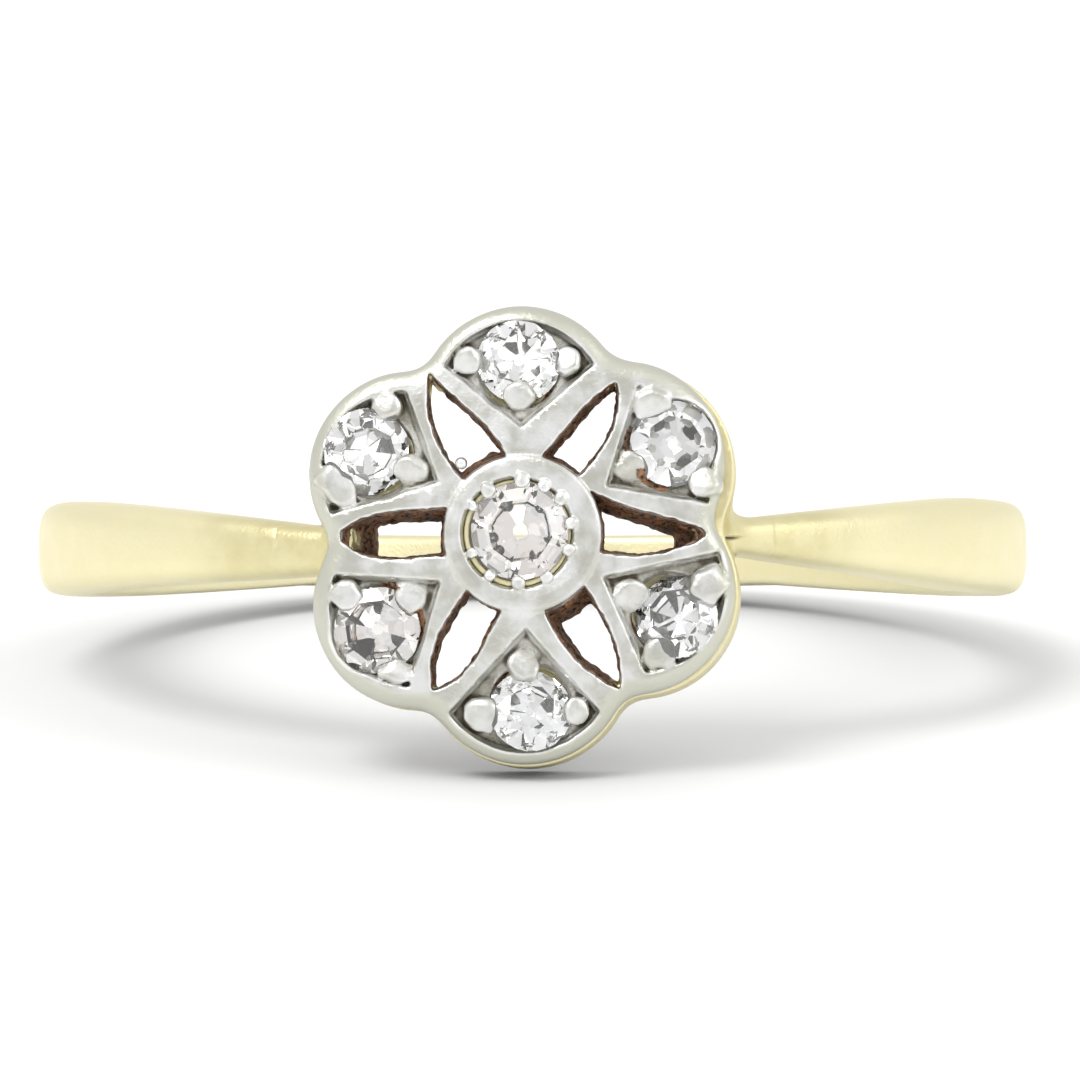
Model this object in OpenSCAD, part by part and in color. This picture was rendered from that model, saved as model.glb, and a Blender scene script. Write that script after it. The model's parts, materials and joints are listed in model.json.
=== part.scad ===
// Cluster ring: a yellow gold hoop soldered to the gallery of a six-petalled head, a white metal
// flower plate pierced between its petals, and seven old-cut stones held by raised grains.
// It lies on its side, on the lowest petal and the back of the hoop, with the head towards -Y.

/* [Hoop] */
// Diameter of the finger bore
bore_d = 17; // [15:0.25:20]
// Thickness of the hoop, from the bore to its outer face
hoop_thick = 1.25; // [1:0.05:1.6]
// Width of the hoop at the sides, where it is widest
hoop_w = 1.78; // [1.4:0.02:2.4]
// Width of the hoop at the middle of the back
back_w = 1.2; // [1:0.02:1.6]
// Width of the shoulders where they meet the head
shoulder_w = 0.9; // [0.7:0.02:1.2]
// Radius of the two outer corners of the hoop's section
corner_r = 0.4; // [0.2:0.02:0.44]
// Angle from the head, and from the back, at which the hoop reaches its full width
taper_angle = 62; // [50:1:75]
// Angle from the middle of the back up to which the hoop keeps its width there
back_angle = 32; // [20:1:45]
// Angle from the head at which the shoulders end, under the gallery
shoulder_end_angle = 18; // [16:1:20]

/* [Head outline] */
// Distance of each lobe's centre from the middle of the head
lobe_offset = 2.39; // [2.3:0.01:2.5]
// Radius of each lobe of the flower plate
lobe_r = 1.99; // [1.95:0.01:2.1]
// How far the gallery stands out past the flower plate, all round
gallery_proud = 0.05; // [0.02:0.01:0.12]
// How far the gallery was soldered on off-centre, to the right
gallery_shift_right = 0.06; // [0:0.01:0.1]
// How far the gallery was soldered on off-centre, downwards
gallery_shift_down = 0.04; // [0:0.01:0.1]
// How much narrower the gallery's piercings are than the plate's, on each side
gallery_inset = 0.1; // [0.06:0.01:0.14]
// How much shorter the gallery's piercings are than the plate's, at the tip
gallery_tip_inset = 0.26; // [0.2:0.01:0.3]

/* [Head heights] */
// Clearance between the finger and the underside of the gallery
finger_gap = 0.35; // [0.2:0.05:0.5]
// Thickness of the gallery above that underside, at the middle
gallery_thick = 1; // [0.9:0.05:1.2]
// How far the gallery's wall reaches down past that underside at the shoulders
gallery_skirt = 0.45; // [0.2:0.05:0.6]
// Gap between metals and round each stone, as set
set_gap = 0.02; // [0.01:0.01:0.04]
// Thickness of the flower plate at its middle
plate_thick = 0.63; // [0.56:0.01:0.75]
// How much lower the plate's surface is at the rim than at the middle
dome_drop = 0.36; // [0.3:0.01:0.45]
// Width of the bevel round the rim
rim_bevel_w = 0.27; // [0.2:0.01:0.32]
// Height of the bevel round the rim
rim_bevel_h = 0.16; // [0.1:0.01:0.2]
// Width of the rim, from the outline to the petals' sunk cells
rim_w = 0.33; // [0.28:0.01:0.36]
// Depth of the petals' cells below the plate's surface
cell_depth = 0.24; // [0.18:0.01:0.28]

/* [Centre] */
// Radius of the centre ring, outside
ring_outer_r = 1.48; // [1.4:0.01:1.55]
// Radius of the hole in the centre ring
ring_hole_r = 1.08; // [1.06:0.01:1.14]
// Height of the centre ring above the plate
ring_raise = 0.1; // [0.05:0.01:0.16]
// Chamfer round the top of the centre ring
ring_chamfer = 0.06; // [0.03:0.01:0.08]
// How far the top of the gold collet lies below the top of the centre ring
collet_drop = 0.2; // [0.16:0.01:0.26]
// Wall of the gold collet inside the ring, at its top edge
collet_wall = 0.1; // [0.06:0.01:0.14]

/* [Stones] */
// Diameter of the centre stone
centre_stone_d = 1.88; // [1.8:0.02:1.92]
// Diameter of the petals' stones, which each petal's own share then varies
petal_stone_d = 1.66; // [1.56:0.02:1.72]
// Table of each stone, as a share of its diameter
table_share = 0.56; // [0.48:0.01:0.62]
// Height of each crown, as a share of the stone's diameter
crown_share = 0.155; // [0.13:0.005:0.17]
// Depth of each pavilion, as a share of the stone's diameter
pavilion_share = 0.42; // [0.38:0.01:0.44]
// Thickness of each girdle, as a share of the stone's diameter
girdle_share = 0.025; // [0.02:0.005:0.04]
// Distance of a brilliant's star tips from its middle, as a share of the stone's radius
star_share = 0.8; // [0.76:0.01:0.84]
// Distance of a brilliant's lower-half tips from its middle, as a share of the stone's radius
lower_half_share = 0.42; // [0.3:0.02:0.5]
// Radius of the hole drilled behind each stone, as a share of the stone's radius
back_hole_share = 0.52; // [0.4:0.02:0.6]
// Radius of the large grains that hold the petals' stones
grain_r = 0.25; // [0.22:0.01:0.27]
// Radius of the small grains that hold the centre stone
centre_grain_r = 0.15; // [0.12:0.01:0.17]
// Height of a grain's middle above the floor that it was raised from
grain_lift = 0.1; // [0.06:0.01:0.14]

/* [Hidden] */
$fn = 64;

// Petals, as seen from outside the ring, with angles anticlockwise from the right. left and right
// are a petal's sides as one looks outwards along it, and lengths are shares of the head's radius.
// The functions below the table say what each column holds.
//             axis  tip    left right  out    side   size  cut turn  grains
top =         [ 90, 0.457, 51, 48, 0.751, 0.018, 0.976, 24,  5, [180, 90, -90]];
upper_left =  [150, 0.425, 46, 41, 0.767, 0.027, 1.012, 24, 14, [188, 78, -85]];
upper_right = [ 30, 0.416, 43, 40, 0.760, 0.016, 1.000,  8,  4, [179, 87, -81]];
lower_left =  [210, 0.406, 43, 36, 0.756, 0.041, 1.012,  8, 12, [195, 86, -79]];
lower_right = [330, 0.397, 42, 37, 0.756, 0.023, 0.976, 24,  9, [185, 76, -85]];
bottom =      [270, 0.406, 43, 42, 0.763, 0.032, 0.964, 24,  2, [188, 90, -86]];
petals = [top, upper_left, upper_right, lower_left, lower_right, bottom];

// Angle of the petal's axis
function petal_angle(petal) = petal[0];
// Distance of the cell's inner tip from the middle of the head
function cell_tip(petal) = petal[1] * head_r;
// Angles between the axis and the cell's left and right sides
function cell_left(petal) = petal[2];
function cell_right(petal) = petal[3];
// Distance of the stone from the middle of the head, along the axis, and how far left of it
function stone_out(petal) = petal[4] * head_r;
function stone_side(petal) = petal[5] * head_r;
// Diameter of the stone, from its share of the petal stones' diameter
function stone_d(petal) = petal[6] * petal_stone_d;
// Facets of its crown below the stars: 8 is a single cut, 24 is a brilliant
function stone_cut(petal) = petal[7];
// How far the stone is turned in its seat
function stone_turn(petal) = petal[8];
// Directions of the three grains from the stone, from the axis
function grain_angles(petal) = petal[9];

// The centre stone's cut and turn, as in the table above
centre_cut = 8;
centre_turn = 10;

// Leaf-shaped piercings between the petals. Each side is one arc from the tip, through a point
// halfway along, to a point at the centre ring. Lengths are shares of the head's radius.
leaf_mid_share = 0.571;
//        axis  tip    mid left, base   mid right, base
leaves = [[  0, 0.822, 0.098, 0.160,    0.089, 0.084],
          [ 60, 0.790, 0.062, 0.096,    0.105, 0.087],
          [120, 0.813, 0.114, 0.107,    0.080, 0.110],
          [180, 0.817, 0.105, 0.100,    0.103, 0.116],
          [240, 0.785, 0.094, 0.089,    0.100, 0.094],
          [300, 0.799, 0.119, 0.123,    0.080, 0.084]];

// Angle of the leaf's axis
function leaf_angle(leaf) = leaf[0];
// Distance of its tip from the middle of the head
function leaf_tip(leaf) = leaf[1] * head_r;
// Half widths on its left and on its right, each halfway along and at the centre ring
function leaf_sides(leaf) = [[leaf[2], leaf[3]], [-leaf[4], -leaf[5]]] * head_r;

// Directions of the small grains round the centre stone
centre_grains = [8, 55, 88, 128, 205, 250, 292, 338];

// Sizes worked out from the driving dimensions
bore_r = bore_d / 2;
hoop_r = bore_r + hoop_thick;
gallery_low = bore_r + finger_gap;
gallery_top = gallery_low + gallery_thick;
plate_low = gallery_top + set_gap;
plate_top = plate_low + plate_thick;
head_r = lobe_offset + lobe_r;
dome_r = (head_r * head_r + dome_drop * dome_drop) / (2 * dome_drop);
rim_edge = plate_top - dome_drop - rim_bevel_h;
ring_top = plate_top + ring_raise;
collet_top = ring_top - collet_drop;
collet_r = ring_hole_r - set_gap;
gallery_lobe_r = lobe_r + gallery_proud;
cut_over = 0.5;
corner_steps = 3;
facet_angle = 22.5;

// How far the ring tips forward when it lies on the lowest petal and the back of the hoop
back_edge_r = lookup(back_w / 2, [for (corner = section_corner()) [corner.y, corner.x]]);
back_contact = [back_edge_r, back_w / 2];
head_contact = [gallery_low, lobe_offset + gallery_lobe_r + gallery_shift_down];
rest_tilt = atan((head_contact.y - back_contact.y) / (head_contact.x + back_contact.x));
rest_height = head_contact.y * cos(rest_tilt) - head_contact.x * sin(rest_tilt);
front_reach = plate_top * cos(rest_tilt) + head_contact.y * sin(rest_tilt) - dome_drop;
back_reach = hoop_r * cos(rest_tilt) + min(back_w / 2, hoop_w / 2 - corner_r) * sin(rest_tilt);
rest_centre = (front_reach - back_reach) / 2;

// Height of the plate's domed surface at a distance from the middle, and its slope there
function dome_at(r) = plate_top - dome_r + sqrt(dome_r * dome_r - r * r);
function dome_slope(r) = asin(r / dome_r);

// Centre of the circle through three points
function circle_centre(a, b, c) =
    let (d = 2 * (a.x * (b.y - c.y) + b.x * (c.y - a.y) + c.x * (a.y - b.y)))
    [(a * a * (b.y - c.y) + b * b * (c.y - a.y) + c * c * (a.y - b.y)) / d,
     (a * a * (c.x - b.x) + b * b * (a.x - c.x) + c * c * (b.x - a.x)) / d];

// From the ring's own frame, with the bore along Z and the head towards -Y, to where it rests
module at_rest()
    translate([0, rest_centre, rest_height]) rotate([-rest_tilt, 0, 0]) children();

// From the head's frame, with X to the right, Y up and Z outwards, to where it rests
module on_head()
    at_rest() rotate([90, 0, 0]) children();

// Height of a petal's stone: its girdle lies just above the floor of the petal's cell
function stone_height(petal) = dome_at(stone_out(petal)) - cell_depth + set_gap;
centre_stone_height = collet_top + girdle_share * centre_stone_d / 2;

// From a petal's stone, with X outwards along the petal and its girdle at Z = 0, to the head
module on_stone(petal)
    rotate(petal_angle(petal)) translate([stone_out(petal), stone_side(petal), stone_height(petal)])
        rotate([0, dome_slope(stone_out(petal)), 0]) children();

// The rounded outer corner of the hoop's section, from its side to its outer face
function section_corner() =
    [for (i = [0 : corner_steps])
        let (s = 90 - 90 * i / corner_steps)
        [hoop_r - corner_r + corner_r * cos(s), hoop_w / 2 - corner_r + corner_r * sin(s)]];

// The hoop's section, from the bore outwards, with both corners rounded
module hoop_section() {
    corner = section_corner();
    polygon(concat([[bore_r, hoop_w / 2]], corner,
                   [for (i = [corner_steps : -1 : 0]) [corner[i].x, -corner[i].y]],
                   [[bore_r, -hoop_w / 2]]));
}

// What narrows one edge of the hoop's front, to a width that it keeps up to an angle from the
// middle; from there the edge runs straight to the sides, seen from in front
module edge_cutter(width, angle) {
    start = hoop_r * sin(angle);
    end = hoop_r * sin(taper_angle);
    rotate([90, 0, 0]) linear_extrude(2 * hoop_r) polygon([
        [-end, hoop_w / 2], [-start, width / 2], [start, width / 2], [end, hoop_w / 2],
        [end, hoop_w], [-end, hoop_w]]);
}

// The hoop, from the end of one shoulder round the back to the end of the other
module hoop() {
    difference() {
        rotate(shoulder_end_angle - 90)
            rotate_extrude(angle = 360 - 2 * shoulder_end_angle) hoop_section();
        for (edge = [0, 1]) mirror([0, 0, edge]) {
            edge_cutter(shoulder_w, shoulder_end_angle);
            mirror([0, 1, 0]) edge_cutter(back_w, back_angle);
        }
    }
}

// Outline of the head: six lobes round a disc that fills the middle
module head_outline(r) {
    for (petal = petals) rotate(petal_angle(petal)) translate([lobe_offset, 0]) circle(r);
    circle(lobe_offset);
}

// One leaf-shaped piercing, in plan, cut smaller by inset at its sides and tip_inset at its tip,
// and ending at inner_r from the middle of the head
module leaf_outline(leaf, inset, tip_inset, inner_r) {
    tip = [leaf_tip(leaf) - tip_inset, 0];
    difference() {
        rotate(leaf_angle(leaf)) intersection_for (side = leaf_sides(leaf)) {
            in = sign(side[0]) * inset;
            middle = circle_centre(tip, [leaf_mid_share * head_r, side[0] - in],
                                   [ring_outer_r, side[1] - in]);
            translate(middle) circle(norm(middle - tip));
        }
        rotate(petal_angle(upper_left)) circle(inner_r);
    }
}

// The flower plate's plan, whose piercings reach just under the centre ring
module plate_outline() {
    difference() {
        head_outline(lobe_r);
        for (leaf = leaves) leaf_outline(leaf, 0, 0, ring_outer_r - ring_chamfer);
    }
}

// The gallery's plan, a little larger and off-centre, with smaller piercings
module gallery_outline() {
    difference() {
        translate([gallery_shift_right, -gallery_shift_down]) head_outline(gallery_lobe_r);
        for (leaf = leaves)
            leaf_outline(leaf, gallery_inset, gallery_tip_inset, ring_outer_r + gallery_inset);
    }
}

// How far the corners of a single cut's girdle rise into its crown, and fall into its pavilion
function crown_scallop(d) =
    crown_share * d * (1 - cos(facet_angle)) / (1 - table_share * cos(facet_angle));
function pavilion_scallop(d) = pavilion_share * d * (1 - cos(facet_angle));

// The space that a stone takes in the metal: its crown, girdle and pavilion, the drilled hole
// behind it, and the open way above it
module stone_space(d) {
    r = d / 2;
    girdle = girdle_share * r;
    hole = back_hole_share * r;
    seat_low = -girdle - pavilion_scallop(d) - set_gap;
    rotate_extrude() polygon([
        [0, -gallery_top], [hole, -gallery_top],
        [hole, seat_low - pavilion_share * d * (1 - back_hole_share) - set_gap],
        [r + set_gap, seat_low],
        [r + set_gap, girdle + crown_scallop(d) + set_gap],
        [table_share * r + set_gap, girdle + crown_share * d + 2 * set_gap],
        [table_share * r + set_gap, gallery_top], [0, gallery_top]]);
}

// The cells' sunk floors: a wedge with its tip inwards, inside the rim, parallel to the dome
module cell(petal) {
    tip = cell_tip(petal);
    reach = 2 * lobe_r;
    on_stone(petal) translate([-stone_out(petal), -stone_side(petal), -set_gap])
        linear_extrude(plate_thick) intersection() {
            polygon([[tip, 0],
                     [tip + reach, -reach * tan(cell_right(petal))],
                     [tip + reach, reach * tan(cell_left(petal))]]);
            translate([lobe_offset, 0]) circle(lobe_r - rim_w);
        }
}

// The grains raised beside a petal's stone
module petal_grains(petal) {
    on_stone(petal) for (a = grain_angles(petal))
        rotate(a) translate([stone_d(petal) / 2 + grain_r / 3, 0, grain_lift - set_gap]) sphere(grain_r);
}

// The space under the plate's domed surface, which falls away faster past the start of the bevel
module dome_space() {
    rotate_extrude() polygon(concat(
        [[0, plate_low - cut_over], [2 * head_r, plate_low - cut_over]],
        [[head_r + cut_over, rim_edge - cut_over * rim_bevel_h / rim_bevel_w], [head_r, rim_edge]],
        [for (share = [1, 0.75, 0.5, 0])
            let (r = share * (head_r - rim_bevel_w)) [r, dome_at(r)]]));
}

// The pierced plate, before its cells are sunk
module plate() {
    intersection() {
        translate([0, 0, plate_low]) linear_extrude(2 * plate_thick) plate_outline();
        dome_space();
    }
}

module centre_ring() {
    translate([0, 0, plate_low]) cylinder(r = ring_outer_r, h = ring_top - ring_chamfer - plate_low);
    translate([0, 0, ring_top - ring_chamfer])
        cylinder(r1 = ring_outer_r, r2 = ring_outer_r - ring_chamfer, h = ring_chamfer);
    for (a = centre_grains)
        rotate(a) translate([ring_hole_r - centre_grain_r / 3, 0, ring_top - centre_grain_r / 2])
            sphere(centre_grain_r);
}

// The gold collet that lines the hole in the centre ring
module collet() {
    translate([0, 0, gallery_top - cut_over]) difference() {
        cylinder(r = collet_r, h = collet_top - gallery_top + cut_over);
        translate([0, 0, -cut_over]) cylinder(r = collet_r - collet_wall, h = plate_top);
    }
}

module gallery() {
    difference() {
        translate([0, 0, gallery_low - gallery_skirt])
            linear_extrude(gallery_thick + gallery_skirt) gallery_outline();
        rotate([-90, 0, 0]) cylinder(r = gallery_low, h = 4 * head_r, center = true);
    }
}

module band() {
    color([0.92, 0.83, 0.58]) difference() {
        union() {
            at_rest() hoop();
            on_head() gallery();
            on_head() collet();
        }
        on_head() for (petal = petals) on_stone(petal) stone_space(stone_d(petal));
        on_head() translate([0, 0, centre_stone_height]) stone_space(centre_stone_d);
    }
}

module face() {
    color([0.83, 0.83, 0.79]) on_head() difference() {
        union() {
            difference() {
                plate();
                for (petal = petals) cell(petal);
            }
            for (petal = petals) petal_grains(petal);
            centre_ring();
        }
        for (petal = petals) on_stone(petal) stone_space(stone_d(petal));
        translate([0, 0, centre_stone_height]) stone_space(centre_stone_d);
        cylinder(r = ring_hole_r, h = collet_top + set_gap);
    }
}

// A ring of n points at one radius and height, turned by a share of a step
function ring_of(n, r, z, turn = 0) =
    [for (i = [0 : n - 1]) [r * cos(360 * (i + turn) / n), r * sin(360 * (i + turn) / n), z]];

// The girdle's 16 corners at one height, with every second one moved off it by scallop
function girdle_ring(r, z, scallop = 0) =
    [for (i = [0 : 15]) [r * cos(facet_angle * i), r * sin(facet_angle * i), z + (i % 2) * scallop]];

// The girdle's sides, between corners that start at two places in a stone's list of points
function girdle_sides(upper_at, lower_at) =
    [for (i = [0 : 15]) let (k = (i + 1) % 16)
        [upper_at + i, upper_at + k, lower_at + k, lower_at + i]];

// Single cut: a table, 8 crown facets, a girdle of 16 sides and 8 pavilion facets
module single_cut(d) {
    r = d / 2;
    girdle = girdle_share * r;
    points = concat(ring_of(8, table_share * r, girdle + crown_share * d, 0.5),
                    girdle_ring(r, girdle, crown_scallop(d)),
                    girdle_ring(r, -girdle, -pavilion_scallop(d)),
                    [[0, 0, -girdle - pavilion_share * d]]);
    upper_at = 8;
    lower_at = 24;
    culet = 40;
    polyhedron(points, concat(
        [[for (i = [7 : -1 : 0]) i]],
        [for (i = [0 : 7]) [(i + 7) % 8, i, upper_at + 2 * i + 1, upper_at + 2 * i,
                            upper_at + (2 * i + 15) % 16]],
        girdle_sides(upper_at, lower_at),
        [for (i = [0 : 7]) [culet, lower_at + (2 * i + 15) % 16, lower_at + 2 * i,
                            lower_at + 2 * i + 1]]));
}

// Brilliant: a table, 8 stars, 8 kites and 16 halves above a girdle of 16 sides, and 16 halves
// and 8 kites below it
module brilliant_cut(d) {
    r = d / 2;
    girdle = girdle_share * r;
    star = star_share * r;
    star_z = girdle + crown_share * d * (1 - star_share * cos(facet_angle)) / (1 - table_share);
    half = lower_half_share * r;
    half_z = -girdle - pavilion_share * d * (1 - lower_half_share * cos(facet_angle));
    points = concat(ring_of(8, table_share * r, girdle + crown_share * d),
                    ring_of(8, star, star_z, 0.5), girdle_ring(r, girdle),
                    girdle_ring(r, -girdle), ring_of(8, half, half_z, 0.5),
                    [[0, 0, -girdle - pavilion_share * d]]);
    star_at = 8;
    upper_at = 16;
    lower_at = 32;
    half_at = 48;
    culet = 56;
    polyhedron(points, concat(
        [[for (i = [7 : -1 : 0]) i]],
        [for (i = [0 : 7]) [i, (i + 1) % 8, star_at + i]],
        [for (i = [0 : 7]) [i, star_at + i, upper_at + 2 * i, star_at + (i + 7) % 8]],
        [for (i = [0 : 7]) each [
            [star_at + i, upper_at + 2 * i + 1, upper_at + 2 * i],
            [star_at + i, upper_at + (2 * i + 2) % 16, upper_at + 2 * i + 1]]],
        girdle_sides(upper_at, lower_at),
        [for (i = [0 : 7]) each [
            [half_at + i, lower_at + 2 * i, lower_at + 2 * i + 1],
            [half_at + i, lower_at + 2 * i + 1, lower_at + (2 * i + 2) % 16]]],
        [for (i = [0 : 7]) [culet, half_at + (i + 7) % 8, lower_at + 2 * i, half_at + i]]));
}

module cut_stone(d, cut, turn) {
    color([0.95, 0.95, 0.96]) rotate(turn) {
        if (cut == 8) single_cut(d);
        else brilliant_cut(d);
    }
}

module petal_stone(petal)
    on_head() on_stone(petal) cut_stone(stone_d(petal), stone_cut(petal), stone_turn(petal));

module centre_stone()
    on_head() translate([0, 0, centre_stone_height])
        cut_stone(centre_stone_d, centre_cut, centre_turn);

band();
face();
centre_stone();
petal_stone(top);  // stone_top
petal_stone(upper_left);  // stone_upper_left
petal_stone(upper_right);  // stone_upper_right
petal_stone(lower_left);  // stone_lower_left
petal_stone(lower_right);  // stone_lower_right
petal_stone(bottom);  // stone_bottom
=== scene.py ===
# Antique flower cluster ring: a pierced white metal flower plate on a gold gallery and hoop, with
# seven old-cut stones held by grains. It lies on the lowest petal and the back of the hoop.
import math
from collections import namedtuple

import bmesh
import bpy
import numpy as np
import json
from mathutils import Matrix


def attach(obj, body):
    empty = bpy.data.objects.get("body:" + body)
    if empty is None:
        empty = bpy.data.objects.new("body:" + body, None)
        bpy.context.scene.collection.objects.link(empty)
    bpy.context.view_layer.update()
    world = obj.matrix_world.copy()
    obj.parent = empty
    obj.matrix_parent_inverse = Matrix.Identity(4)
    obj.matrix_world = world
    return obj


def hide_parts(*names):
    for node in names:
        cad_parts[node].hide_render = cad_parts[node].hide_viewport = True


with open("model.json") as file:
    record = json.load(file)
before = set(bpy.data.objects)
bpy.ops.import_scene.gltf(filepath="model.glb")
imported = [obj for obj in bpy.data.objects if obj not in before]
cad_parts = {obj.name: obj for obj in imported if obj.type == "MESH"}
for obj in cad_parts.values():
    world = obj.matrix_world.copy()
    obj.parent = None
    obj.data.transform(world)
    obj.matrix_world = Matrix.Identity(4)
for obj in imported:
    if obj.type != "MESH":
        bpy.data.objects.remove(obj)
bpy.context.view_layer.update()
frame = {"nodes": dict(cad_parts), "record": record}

import openvdb
from mathutils import Matrix, Vector

# Lengths below are in millimetres, in the head's frame: X to the right, Y up and Z outwards from the
# axis of the finger bore. Angles are in degrees, anticlockwise from X.
MM = 0.001
finger = frame["record"]["mounts"][0]
bore_r = finger["dims"]["r_mm"]
up = Vector(finger["axis"])
right = Vector((1, 0, 0))
HEAD = Matrix((right, up, right.cross(up))).transposed().to_4x4()
HEAD.translation = Vector(finger["pos_m"])


def head_points(node):
    """The points of a CAD node, in the head's frame."""
    mesh = frame["nodes"][node].data
    flat = np.empty(3 * len(mesh.vertices))
    mesh.vertices.foreach_get("co", flat)
    place = np.array(HEAD.inverted())
    return (flat.reshape(-1, 3) @ place[:3, :3].T + place[:3, 3]) / MM


# Fields: resolution, rounding of sharp edges, step over which a slope is read, how far flat parts are
# simplified, and reach of the average that finds hollows
VOXEL = 0.038
SMOOTH = 0.036
SLOPE_STEP = 0.6 * VOXEL
ADAPTIVITY = 0.02
CAVITY_REACH = 0.085

# Noises that make the metal uneven: size of a feature, and seed
PLATE_WAVE = (0.9, 1)
WALL_ROUGH = (0.17, 2)
WALL_FINE = (0.09, 3)
GALLERY_WAVE = (0.9, 4)

# Flower plate, domed and bevelled
plate_low = head_points("face")[:, 2].min()
PLATE_THICK = 0.63
plate_top = plate_low + PLATE_THICK
HEAD_R = 4.38
DOME_DROP = 0.36
LOBE_R = 1.96
VALLEY_BLEND = 0.42
RIM_BEVEL_W = 0.3
RIM_BEVEL_H = 0.15
RIM_ROUND = 0.1
RIM_UNEVEN = 0.012
TOP_UNEVEN = 0.008

# Cells sunk in the petals: their sides lean out by a share of the height above the floor
CELL_DEPTH = 0.24
CELL_DRAFT = 0.45
CELL_TIGHTER = 0.1
CELL_UNEVEN = 0.02

# Ring round the centre stone, sloping both ways from a low crest, and its hole, a little off-centre
RING_R = 1.48
RING_CREST_R = 1.28
RING_SLOPE = 0.12
RING_RAISE = 0.035
RING_BLEND = 0.07
RING_UNEVEN = 0.01
RING_HOLE_R = 1.07
HOLE_FLARE = 0.25
HOLE_SHIFT = (-0.10, 0.02)

# Seats of the stones: play, wider in a crescent towards the middle of the head, and a hole behind
SEAT_GAP = 0.015
CRESCENT_W = 0.05
PAVILION_SLOPE = 0.84
BACK_HOLE_SHARE = 0.5
CENTRE_SHIFT = Vector((-0.05, 0.06, 0))

# Piercings: depth at which they have lost all that their table says, distance kept from the centre
# ring, how far past its ends a side's curve is followed, and how rough the walls are
PIERCED_DEPTH = 1.2
RING_MARGIN = 0.02
PAST_ENDS = 0.3
EDGE_ROUGH = 0.012
WALL_ROUGHER = 0.03
ROUGHER_FROM = (0.1, 0.4)
FINE_ROUGH = 0.012

# Shares that bring the fields of slanted walls back to distances
CONE_SCALE = 0.64
LEAF_SCALE = 0.93

# Gallery: hollowed for the finger, with a flat foot, and leaning down and to the right
METAL_GAP = 0.02
FINGER_ROOM = 0.35
gallery_top = plate_low - METAL_GAP
gallery_low = bore_r + FINGER_ROOM
GALLERY_H = 1.0
GALLERY_SKIRT = 0.45
GALLERY_ROUND = 0.06
GALLERY_UNEVEN = 0.01
LEAN_RIGHT = 0.03
LEAN_DOWN = 0.02

# Gold collet of the centre stone
COLLET_R = 1.02
COLLET_WALL = 0.11
COLLET_DROP = 0.17
COLLET_ROOT = 0.3

# Hoop: its section, and its widths from the back to the shoulders
HOOP_THICK = 1.25
HOOP_W = 1.8
hoop_r = bore_r + HOOP_THICK
OUTER_POWER = 3.4
INNER_POWER = 7
BACK_W = 1.04
BACK_OUT = 5.2
BACK_TAPER = 0.17
SHOULDER_OUT = 4.4
SHOULDER_W_LEFT = 1.0
TAPER_LEFT = 0.16
SHOULDER_W_RIGHT = 0.72
TAPER_RIGHT = 0.24
LEAST_W = SHOULDER_W_RIGHT - 0.1
SHOULDER_LIFT_LEFT = -0.25
LIFT_ENDS = 10
HOOP_STEPS = 180
HOOP_SIDES = 40
HOOP_SEED = 7
HOOP_WORN = 0.012
HOOP_WANDER = 0.02

# The hoop's ends belong to the gallery's mesh. Where the two meshes pass into each other, each sinks
# under the other between the two places given.
SHOULDER_END = 2.85
HOOP_START = 4.6
STUB_END = 4.98
SEAM_SINK = 0.03
HOOP_SINKS = (4.75, 4.62)
STUB_SINKS = (4.75, 4.9)
SOLDER = 0.16
SOLDER_UPPER_RIGHT = 0.5

# Distances over which the masks that the metals read come in. INWARD_RISE is a cosine.
INSIDE_RISE = (0.1, 0.3)
WALL_RISE = (-0.16, -0.06)
WALL_DEPTH_RISE = (0.05, 0.2)
FLOOR_RISE = (-0.14, -0.04)
FLOOR_DEPTH_RISE = (0.09, 0.2)
RIM_RISE = (-0.34, -0.22)
CRESCENT_RISE = (0.13, 0.08)
CRESCENT_HEIGHT_RISE = (0.14, 0.05)
INWARD_RISE = (0.35, 0.95)
SEAT_REACH = 0.12
SEAT_DEPTH_RISE = (0.28, 0.36)
GALLERY_INSIDE_RISE = (0.3, 0.6)
GALLERY_SEAT_TOP_RISE = (0.42, 0.22)
GALLERY_SEAT_FOOT_RISE = (-0.75, -0.5)

# What the hoop gives as its cavity: worn all over, and duller towards the head
WORN_CAVITY = 0.29
SHOULDER_CAVITY = 0.16
SHOULDER_RISE = (7.4, 4.7)

# A petal's cell, from the axis of the petal: the inner tip, the two outer corners and the middle of the
# outer side, each outwards along the axis and then to its left.
Petal = namedtuple("Petal", "axis tip tip_side left left_side right right_side outer")
PETALS = {
    "top": Petal(90, 2.02, 0.03, 3.20, 1.52, 3.23, -1.37, 4.05),
    "upper_left": Petal(150, 1.86, -0.06, 3.35, 1.50, 3.28, -1.27, 4.09),
    "upper_right": Petal(30, 1.81, 0.00, 3.31, 1.38, 3.35, -1.26, 3.96),
    "lower_left": Petal(210, 1.77, -0.01, 3.31, 1.44, 3.48, -1.14, 4.06),
    "lower_right": Petal(330, 1.70, 0.06, 3.39, 1.59, 3.33, -1.12, 4.03),
    "bottom": Petal(270, 1.76, 0.06, 3.36, 1.48, 3.39, -1.43, 4.14),
}

# Lobes of the flower plate's outline and of the gallery's: direction and reach
PLATE_LOBES = [(90.7, 4.35), (151.5, 4.365), (35.5, 4.27), (213.5, 4.40), (332.5, 4.30), (271, 4.37)]
GALLERY_LOBES = [(90, 4.32), (151, 4.34), (31, 4.36), (213.5, 4.39), (332.5, 4.375), (271.5, 4.42)]

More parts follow.
